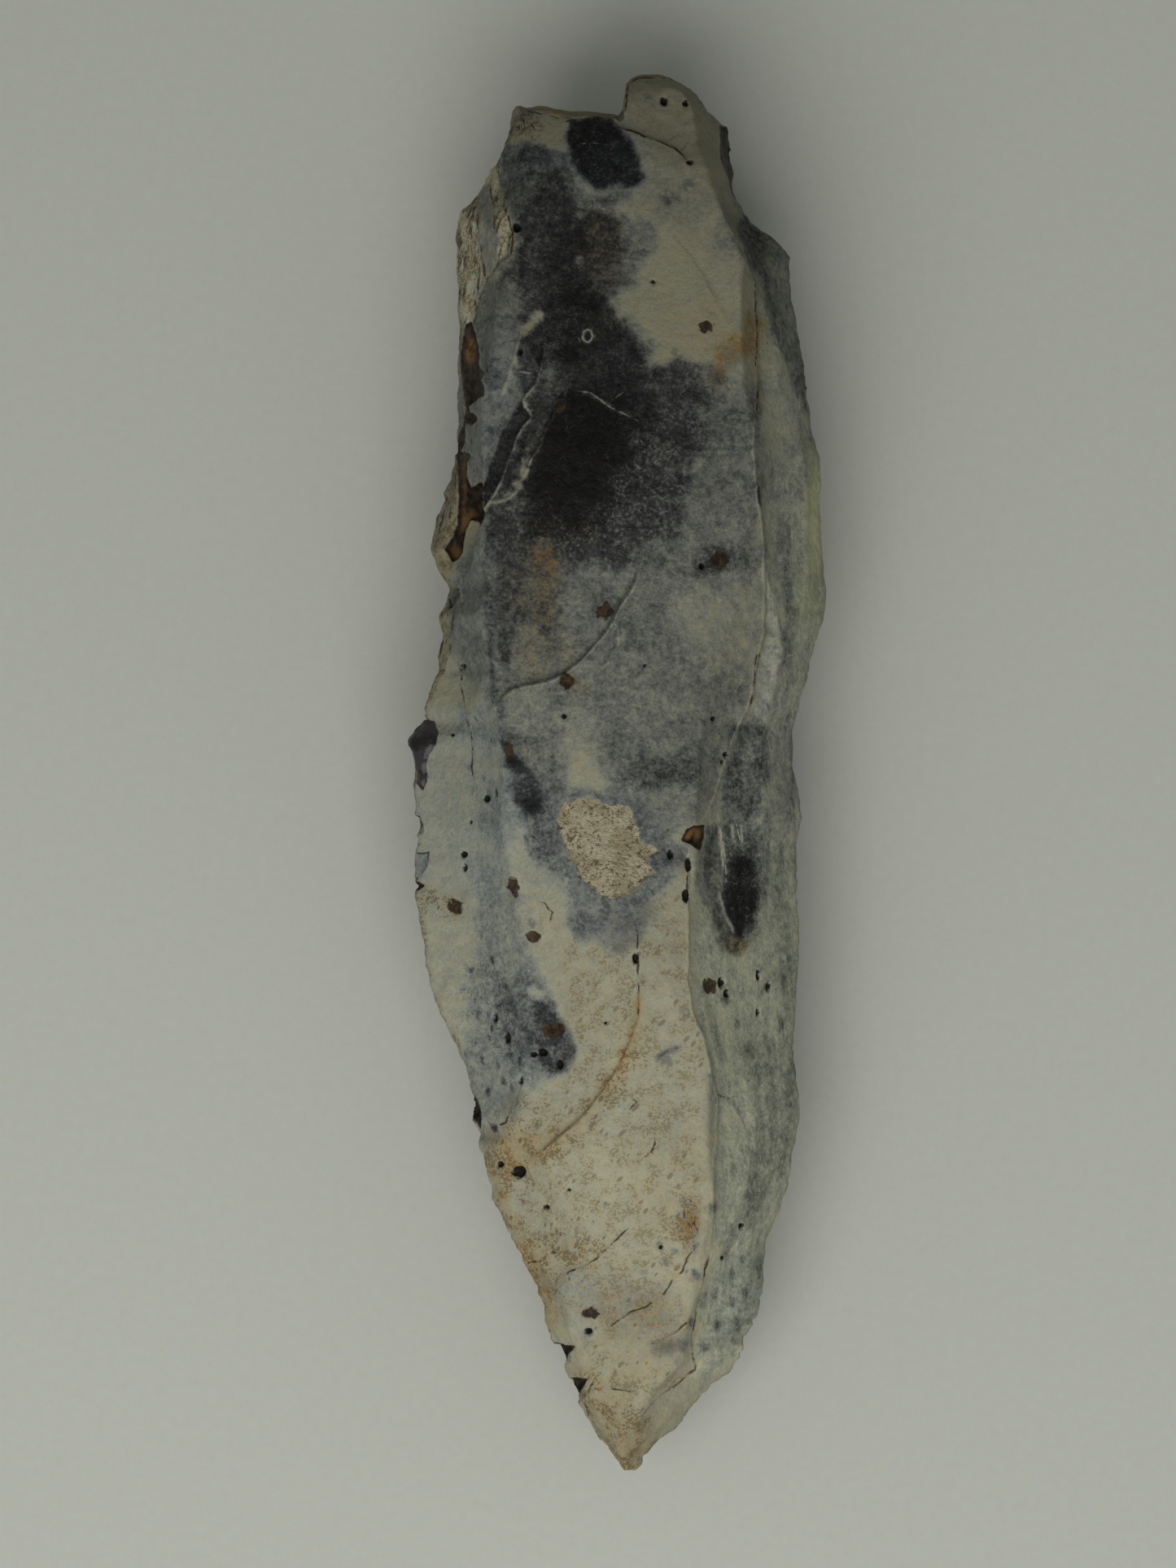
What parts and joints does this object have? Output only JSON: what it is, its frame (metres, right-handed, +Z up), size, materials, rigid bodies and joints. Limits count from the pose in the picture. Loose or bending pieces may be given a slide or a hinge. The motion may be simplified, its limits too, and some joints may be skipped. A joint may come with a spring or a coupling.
{
  "type": "flint core axe",
  "caption": "Long knapped flint core axe with a blunt broad end, a pointed butt, a stepped nub and shallow flake scars all round.",
  "frame": {"origin": "middle of the stone's box, on the surface that it lies on", "axes": "+Y along the stone towards its broad end, +Z up from the flatter face that it lies on, +X to the right in the picture"},
  "size_m": [0.045, 0.15, 0.0295],
  "materials": {
    "patinated_flint": "waxy white and blue-grey patina, satin"
  },
  "bodies": {
    "root": {"flint_core_axe": "patinated_flint"}
  },
  "joints": []
}
